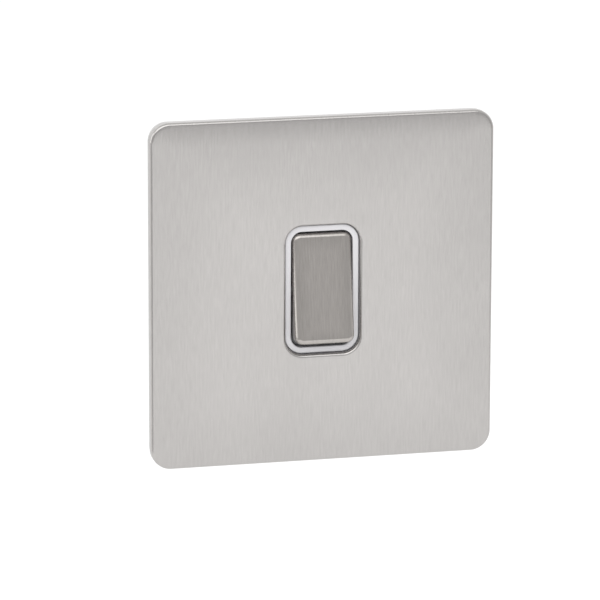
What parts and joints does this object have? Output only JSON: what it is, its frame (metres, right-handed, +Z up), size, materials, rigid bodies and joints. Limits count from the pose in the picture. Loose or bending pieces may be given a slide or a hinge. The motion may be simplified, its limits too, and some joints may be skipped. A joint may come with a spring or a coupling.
{
  "type": "rocker wall switch",
  "caption": "Square flush wall switch: brushed-metal clip-on plate, glossy white surround and a concave brushed rocker, with its yoke, case and wire terminals behind.",
  "frame": {"origin": "centre of the wall plane, where the gasket's back meets the wall", "axes": "+X to the right as seen from the front, +Z up, +Y into the wall; the front faces -Y"},
  "size_m": [0.086, 0.0301, 0.086],
  "materials": {
    "brushed_plate": "vertical brushed satin",
    "brushed_rocker": "vertical brushed satin",
    "white_gloss": "glossy white moulding",
    "grey_frame": "satin pale grey moulding",
    "foam": "closed-cell foam",
    "zinc_steel": "bright zinc plate",
    "spring_steel": "spring steel",
    "liner": "thin insulating sheet",
    "case_white": "moulded thermoset",
    "rocker_body": "dark grey moulding",
    "nylon": "natural nylon",
    "brass": "stamped brass",
    "silver_contact": "silver alloy"
  },
  "bodies": {
    "switch_base": {"base_frame": "grey_frame", "wall_gasket": "foam", "mounting_yoke": "zinc_steel", "retaining_clips": "spring_steel", "rocker_surround": "white_gloss", "switch_housing": "case_white", "housing_cover": "case_white", "housing_rivets": "zinc_steel", "common_contact": "brass", "fixed_contact_l1": "brass", "fixed_contact_l2": "brass", "fixed_contact_tips": "silver_contact", "terminal_common": "brass", "terminal_l1": "brass", "terminal_l2": "brass", "earth_terminal": "brass", "earth_rivet": "zinc_steel", "fixing_screws": "zinc_steel"},
    "front_plate": {"front_plate": "brushed_plate", "plate_liner": "liner"},
    "rocker": {"rocker_cap": "brushed_rocker", "rocker_carrier": "rocker_body", "plunger_spring": "spring_steel"},
    "plunger": {"plunger": "nylon"},
    "moving_contact": {"moving_contact": "brass", "moving_contact_tips": "silver_contact"},
    "screw_common": {"screw_common": "zinc_steel"},
    "screw_l1": {"screw_l1": "zinc_steel"},
    "screw_l2": {"screw_l2": "zinc_steel"},
    "screw_earth": {"screw_earth": "zinc_steel"}
  },
  "joints": [
    {"name": "plate_pull", "type": "slide", "parent": "switch_base", "child": "front_plate", "axis": [0, -1, 0], "range_m": [0, 0.015]},
    {"name": "rocker_tilt", "type": "hinge", "parent": "switch_base", "child": "rocker", "pos_m": [0, -0.0022, 0], "axis": [1, 0, 0], "range_deg": [0, 17.5]},
    {"name": "plunger_slide", "type": "slide", "parent": "rocker", "child": "plunger", "axis": [0, -0.9884, 0.1521], "range_m": [0, 0.0007], "stiffness_N_per_m": 800, "springref_m": -0.0015, "deforming": ["plunger_spring"]},
    {"name": "contact_rock", "type": "hinge", "parent": "switch_base", "child": "moving_contact", "pos_m": [0, 0.0112, 0], "axis": [1, 0, 0], "range_deg": [-17, 0]},
    {"name": "clamp_common", "type": "slide", "parent": "switch_base", "child": "screw_common", "axis": [0, -1, 0], "range_m": [0, 0.0025]},
    {"name": "clamp_l1", "type": "slide", "parent": "switch_base", "child": "screw_l1", "axis": [0, -1, 0], "range_m": [0, 0.0025]},
    {"name": "clamp_l2", "type": "slide", "parent": "switch_base", "child": "screw_l2", "axis": [0, -1, 0], "range_m": [0, 0.0025]},
    {"name": "clamp_earth", "type": "slide", "parent": "switch_base", "child": "screw_earth", "axis": [0, -1, 0], "range_m": [0, 0.0025]}
  ],
  "couplings": [
    {"joint": "contact_rock", "follows": "rocker_tilt", "ratio": -0.9714}
  ]
}
